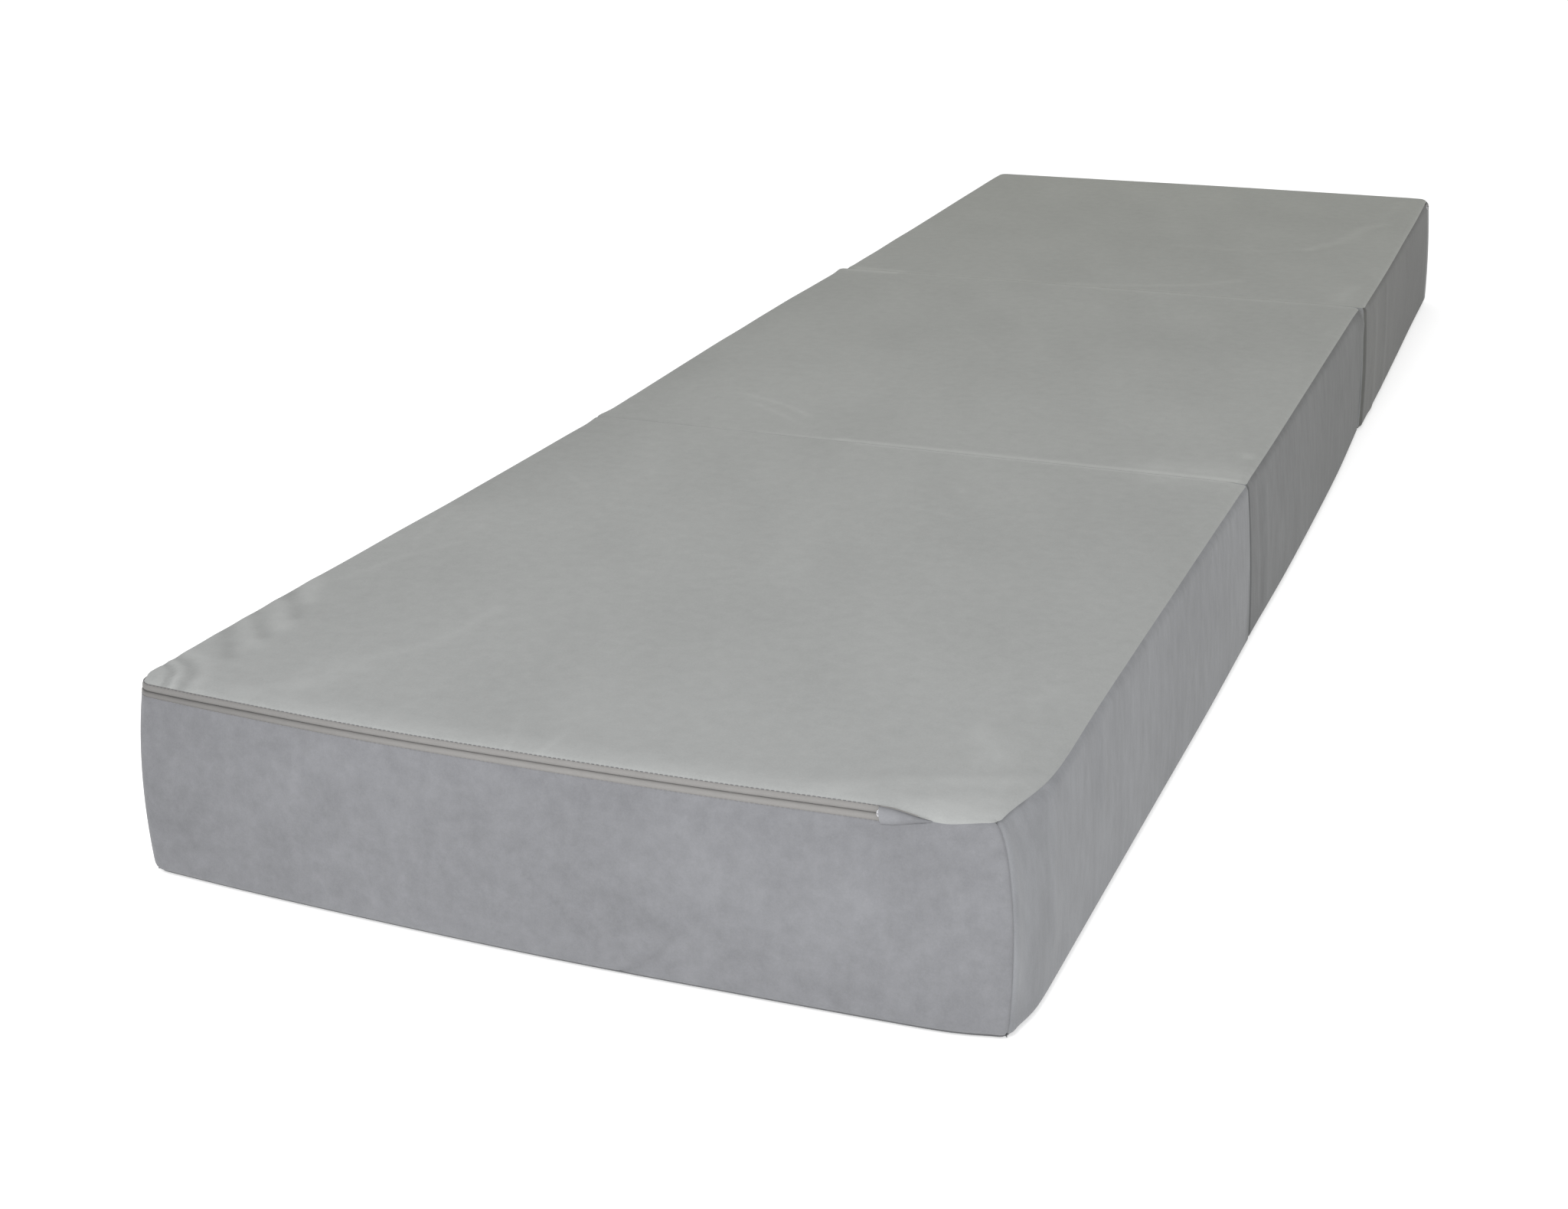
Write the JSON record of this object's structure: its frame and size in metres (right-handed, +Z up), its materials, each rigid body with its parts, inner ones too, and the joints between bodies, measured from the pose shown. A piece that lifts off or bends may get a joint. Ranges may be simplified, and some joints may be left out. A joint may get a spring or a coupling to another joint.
{
  "type": "folding foam mattress",
  "caption": "Folding pressure relief mattress: foam sections in zipped grey velour covers, hinged alternately along their top and bottom edges so they fold into a stack.",
  "frame": {"origin": "centre of the underside of the flat, unfolded mattress, on the floor", "axes": "+X across the mattress to the right when seen from the zipped front end, +Y along the mattress away from that end, +Z up"},
  "size_m": [0.6, 2, 0.14],
  "materials": {
    "cover_velour": "matte",
    "base_foam": "matte",
    "memory_foam": "matte",
    "zip_tape": "matte",
    "zip_coil": "satin",
    "zip_metal": "polished",
    "hinge_strip": "matte"
  },
  "bodies": {
    "front_section": {"front_base_foam": "base_foam", "front_memory_foam": "memory_foam", "front_top_panel": "cover_velour", "front_bottom_panel": "cover_velour", "front_front_band": "cover_velour", "front_right_band": "cover_velour", "front_back_band": "cover_velour", "front_left_band": "cover_velour", "front_zip_lower_tape": "zip_tape", "front_zip_lower_coil": "zip_coil", "front_zip_upper_tape": "zip_tape", "front_zip_upper_coil": "zip_coil", "front_zip_end_stops": "zip_metal", "front_zip_garage": "cover_velour", "front_hinge_strip": "hinge_strip"},
    "front_zip_runner": {"front_zip_slider": "zip_metal", "front_zip_pull": "zip_metal"},
    "middle_section": {"middle_base_foam": "base_foam", "middle_memory_foam": "memory_foam", "middle_top_panel": "cover_velour", "middle_bottom_panel": "cover_velour", "middle_left_band": "cover_velour", "middle_front_band": "cover_velour", "middle_right_band": "cover_velour", "middle_back_band": "cover_velour", "middle_zip_lower_tape": "zip_tape", "middle_zip_lower_coil": "zip_coil", "middle_zip_upper_tape": "zip_tape", "middle_zip_upper_coil": "zip_coil", "middle_zip_end_stops": "zip_metal", "middle_zip_garage": "cover_velour", "back_hinge_strip": "hinge_strip"},
    "middle_zip_runner": {"middle_zip_slider": "zip_metal", "middle_zip_pull": "zip_metal"},
    "back_section": {"back_base_foam": "base_foam", "back_memory_foam": "memory_foam", "back_top_panel": "cover_velour", "back_bottom_panel": "cover_velour", "back_back_band": "cover_velour", "back_left_band": "cover_velour", "back_front_band": "cover_velour", "back_right_band": "cover_velour", "back_zip_lower_tape": "zip_tape", "back_zip_lower_coil": "zip_coil", "back_zip_upper_tape": "zip_tape", "back_zip_upper_coil": "zip_coil", "back_zip_end_stops": "zip_metal", "back_zip_garage": "cover_velour"},
    "back_zip_runner": {"back_zip_slider": "zip_metal", "back_zip_pull": "zip_metal"}
  },
  "joints": [
    {"name": "front_fold", "type": "hinge", "parent": "front_section", "child": "middle_section", "pos_m": [0, -0.33383, 0.1405], "axis": [1, 0, 0], "range_deg": [0, 180]},
    {"name": "back_fold", "type": "hinge", "parent": "middle_section", "child": "back_section", "pos_m": [0, 0.33383, -0.0005], "axis": [-1, 0, 0], "range_deg": [0, 180]},
    {"name": "front_zip", "type": "slide", "parent": "front_section", "child": "front_zip_runner", "axis": [-1, 0, 0], "range_m": [0, 0.49]},
    {"name": "middle_zip", "type": "slide", "parent": "middle_section", "child": "middle_zip_runner", "axis": [0, 1, 0], "range_m": [0, 0.555]},
    {"name": "back_zip", "type": "slide", "parent": "back_section", "child": "back_zip_runner", "axis": [1, 0, 0], "range_m": [0, 0.49]}
  ]
}
